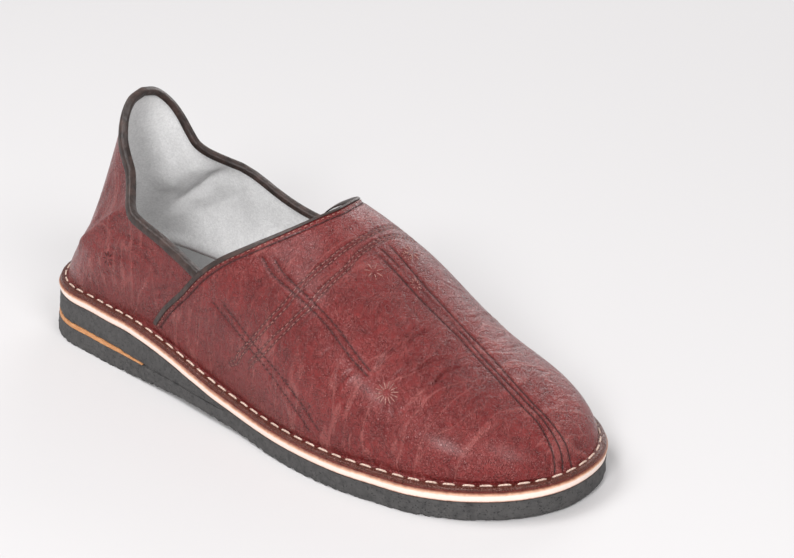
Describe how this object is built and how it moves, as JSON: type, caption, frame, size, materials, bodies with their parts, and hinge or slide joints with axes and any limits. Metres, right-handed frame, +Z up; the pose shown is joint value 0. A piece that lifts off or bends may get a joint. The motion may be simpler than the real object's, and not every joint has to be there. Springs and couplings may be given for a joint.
{
  "type": "leather slipper",
  "caption": "Right-foot slip-on leather slipper with a tall heel tab, on a layered rubber and leather sole.",
  "frame": {"origin": "middle of the shoe's box in plan, on the ground it stands on", "axes": "+X towards the toe, +Y towards the inner side of the right foot, +Z up"},
  "size_m": [0.2874, 0.1014, 0.1161],
  "materials": {
    "outsole_rubber": "matt black rubber with a cut, slightly rough edge",
    "wedge_rubber": "matt black rubber, sanded smooth",
    "stripe_leather": "tan, matt cut edge",
    "midsole_leather": "pale natural leather edge, matt, tan at its upper rim",
    "insole_suede": "light grey suede, matt",
    "upper_leather": "burgundy full-grain leather, soft semi-gloss; light grey suede lining",
    "binding_leather": "dark brown thin leather, satin"
  },
  "bodies": {
    "root": {"outsole": "outsole_rubber", "heel_stripe": "stripe_leather", "heel_wedge": "wedge_rubber", "midsole": "midsole_leather", "insole": "insole_suede", "upper": "upper_leather", "collar_binding": "binding_leather", "vamp_binding": "binding_leather"}
  },
  "joints": []
}
